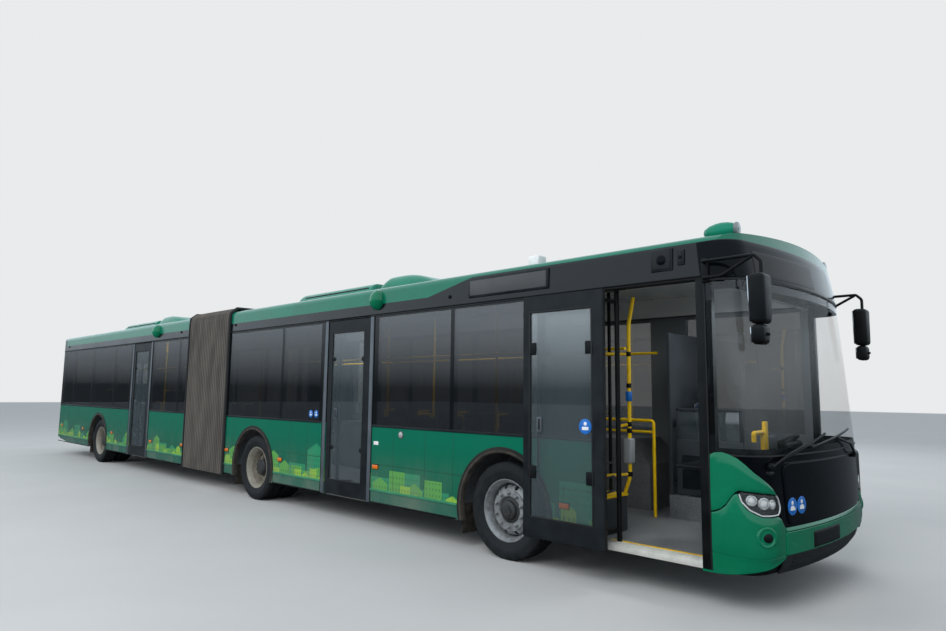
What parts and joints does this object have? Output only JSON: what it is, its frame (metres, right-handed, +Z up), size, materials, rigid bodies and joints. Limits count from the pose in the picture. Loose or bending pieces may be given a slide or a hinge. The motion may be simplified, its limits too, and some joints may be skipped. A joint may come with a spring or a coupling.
{
  "type": "articulated bus",
  "caption": "Low-floor articulated city bus with two sections joined by a bellows gangway, swinging doors, steered front wheels and a hinged engine lid.",
  "frame": {"origin": "on the ground at the middle of the length and width", "axes": "+X forward along the bus, +Y to the driver's side away from the doors, +Z up"},
  "size_m": [17.9998, 2.9, 3.2],
  "materials": {
    "aluminium": "satin",
    "bellows_fabric": "matte",
    "black_panel": "gloss",
    "black_plastic": "satin",
    "black_steel": "satin",
    "body_green": "gloss",
    "cab_grey": "satin",
    "chassis": "matte",
    "clear_glass": "gloss",
    "door_frame": "satin",
    "engine_iron": "matte",
    "floor": "matte",
    "lamp_lens": "gloss",
    "lamp_red": "gloss",
    "rail_yellow": "gloss",
    "rim_steel": "satin",
    "seat_fabric": "matte",
    "sign_display": "satin",
    "tyre": "matte",
    "window_glass": "gloss"
  },
  "bodies": {
    "front_section": {"front_floor": "floor", "front_side_right": "body_green", "front_side_left": "body_green", "front_windows": "window_glass", "front_roof": "body_green", "front_mask": "body_green", "centre_panel": "black_panel", "headlamps": "lamp_lens", "windscreen": "clear_glass", "front_frame": "black_panel", "destination_signs": "sign_display", "front_axle": "chassis", "middle_axle": "chassis", "front_roof_units": "body_green", "mirrors": "black_plastic", "wipers": "black_plastic", "front_seats": "seat_fabric", "driver_cab": "cab_grey", "front_handrails": "rail_yellow", "bellows_front": "bellows_fabric"},
    "centre_hoop": {"centre_hoop": "aluminium"},
    "rear_section": {"rear_floor": "floor", "rear_side_right": "body_green", "rear_side_left": "body_green", "rear_windows": "window_glass", "rear_roof": "body_green", "rear_end": "body_green", "engine": "engine_iron", "rear_lamps": "lamp_red", "rear_axle": "chassis", "rear_roof_units": "body_green", "rear_seats": "seat_fabric", "rear_handrails": "rail_yellow", "bellows_rear": "bellows_fabric"},
    "engine_lid": {"engine_lid": "body_green"},
    "knuckle_left": {"knuckle_left": "chassis"},
    "knuckle_right": {"knuckle_right": "chassis"},
    "steering_wheel": {"steering_wheel": "black_plastic"},
    "cab_door": {"cab_door": "cab_grey"},
    "wheel_front_left": {"tyre_front_left": "tyre", "rim_front_left": "rim_steel"},
    "wheel_front_right": {"tyre_front_right": "tyre", "rim_front_right": "rim_steel"},
    "wheel_middle_left": {"tyre_middle_left": "tyre", "rim_middle_left": "rim_steel"},
    "wheel_middle_right": {"tyre_middle_right": "tyre", "rim_middle_right": "rim_steel"},
    "wheel_rear_left": {"tyre_rear_left": "tyre", "rim_rear_left": "rim_steel"},
    "wheel_rear_right": {"tyre_rear_right": "tyre", "rim_rear_right": "rim_steel"},
    "door_arm_front": {"door_arm_front": "black_steel"},
    "door_leaf_front": {"leaf_frame_front": "door_frame", "leaf_glass_front": "clear_glass"},
    "door_arm_middle": {"door_arm_middle": "black_steel"},
    "door_leaf_middle": {"leaf_frame_middle": "door_frame", "leaf_glass_middle": "clear_glass"},
    "door_arm_rear": {"door_arm_rear": "black_steel"},
    "door_leaf_rear": {"leaf_frame_rear": "door_frame", "leaf_glass_rear": "clear_glass"}
  },
  "joints": [
    {"name": "articulation", "type": "hinge", "parent": "front_section", "child": "rear_section", "pos_m": [-0.439, 0, 0.25], "axis": [0, 0, 1], "range_deg": [-47, 47], "deforming": ["bellows_rear"]},
    {"name": "hoop_turn", "type": "hinge", "parent": "front_section", "child": "centre_hoop", "pos_m": [-0.439, 0, 0.25], "axis": [0, 0, 1], "range_deg": [-23.5, 23.5], "deforming": ["bellows_front"]},
    {"name": "steer_left", "type": "hinge", "parent": "front_section", "child": "knuckle_left", "pos_m": [6.3, 0.93, 0.476], "axis": [0, 0, 1], "range_deg": [-45, 45]},
    {"name": "steer_right", "type": "hinge", "parent": "front_section", "child": "knuckle_right", "pos_m": [6.3, -0.93, 0.476], "axis": [0, 0, 1], "range_deg": [-45, 45]},
    {"name": "steering_wheel_turn", "type": "hinge", "parent": "front_section", "child": "steering_wheel", "pos_m": [8.23, 0.78, 1.14], "axis": [-0.5, 0, 0.866], "range_deg": [-640, 640]},
    {"name": "roll_front_left", "type": "hinge", "parent": "knuckle_left", "child": "wheel_front_left", "pos_m": [6.3, 1.085, 0.476], "axis": [0, 1, 0], "continuous": true},
    {"name": "roll_front_right", "type": "hinge", "parent": "knuckle_right", "child": "wheel_front_right", "pos_m": [6.3, -1.085, 0.476], "axis": [0, 1, 0], "continuous": true},
    {"name": "roll_middle_left", "type": "hinge", "parent": "front_section", "child": "wheel_middle_left", "pos_m": [1.26, 0.929, 0.476], "axis": [0, 1, 0], "continuous": true},
    {"name": "roll_middle_right", "type": "hinge", "parent": "front_section", "child": "wheel_middle_right", "pos_m": [1.26, -0.929, 0.476], "axis": [0, 1, 0], "continuous": true},
    {"name": "roll_rear_left", "type": "hinge", "parent": "rear_section", "child": "wheel_rear_left", "pos_m": [-5.84, 0.929, 0.476], "axis": [0, 1, 0], "continuous": true},
    {"name": "roll_rear_right", "type": "hinge", "parent": "rear_section", "child": "wheel_rear_right", "pos_m": [-5.84, -0.929, 0.476], "axis": [0, 1, 0], "continuous": true},
    {"name": "door_swing_front", "type": "hinge", "parent": "front_section", "child": "door_arm_front", "pos_m": [7.55, -1.135, 1.4], "axis": [0, 0, 1], "range_deg": [0, 147.94]},
    {"name": "leaf_hang_front", "type": "hinge", "parent": "door_arm_front", "child": "door_leaf_front", "pos_m": [7.17325, -1.312, 1.4], "axis": [0, 0, 1], "range_deg": [-147.94, 0]},
    {"name": "door_swing_middle", "type": "hinge", "parent": "front_section", "child": "door_arm_middle", "pos_m": [3.282, -1.135, 1.4], "axis": [0, 0, 1], "range_deg": [-147.94, 0]},
    {"name": "leaf_hang_middle", "type": "hinge", "parent": "door_arm_middle", "child": "door_leaf_middle", "pos_m": [3.69525, -1.185, 1.4], "axis": [0, 0, 1], "range_deg": [0, 147.94]},
    {"name": "door_swing_rear", "type": "hinge", "parent": "rear_section", "child": "door_arm_rear", "pos_m": [-3.81, -1.135, 1.4], "axis": [0, 0, 1], "range_deg": [-147.94, 0]},
    {"name": "leaf_hang_rear", "type": "hinge", "parent": "door_arm_rear", "child": "door_leaf_rear", "pos_m": [-3.39675, -1.185, 1.4], "axis": [0, 0, 1], "range_deg": [0, 147.94]},
    {"name": "engine_lid_hinge", "type": "hinge", "parent": "rear_section", "child": "engine_lid", "pos_m": [-8.99, 0, 1.262], "axis": [0, 1, 0], "range_deg": [0, 75]},
    {"name": "cab_door_hinge", "type": "hinge", "parent": "front_section", "child": "cab_door", "pos_m": [7.365, 0.27, 1.06], "axis": [0, 0, 1], "range_deg": [-90, 0]}
  ],
  "couplings": [
    {"joint": "hoop_turn", "follows": "articulation", "ratio": 0.5},
    {"joint": "steer_right", "follows": "steer_left", "ratio": 1},
    {"joint": "steering_wheel_turn", "follows": "steer_left", "ratio": 14},
    {"joint": "leaf_hang_front", "follows": "door_swing_front", "ratio": -1},
    {"joint": "leaf_hang_middle", "follows": "door_swing_middle", "ratio": -1},
    {"joint": "leaf_hang_rear", "follows": "door_swing_rear", "ratio": -1}
  ]
}
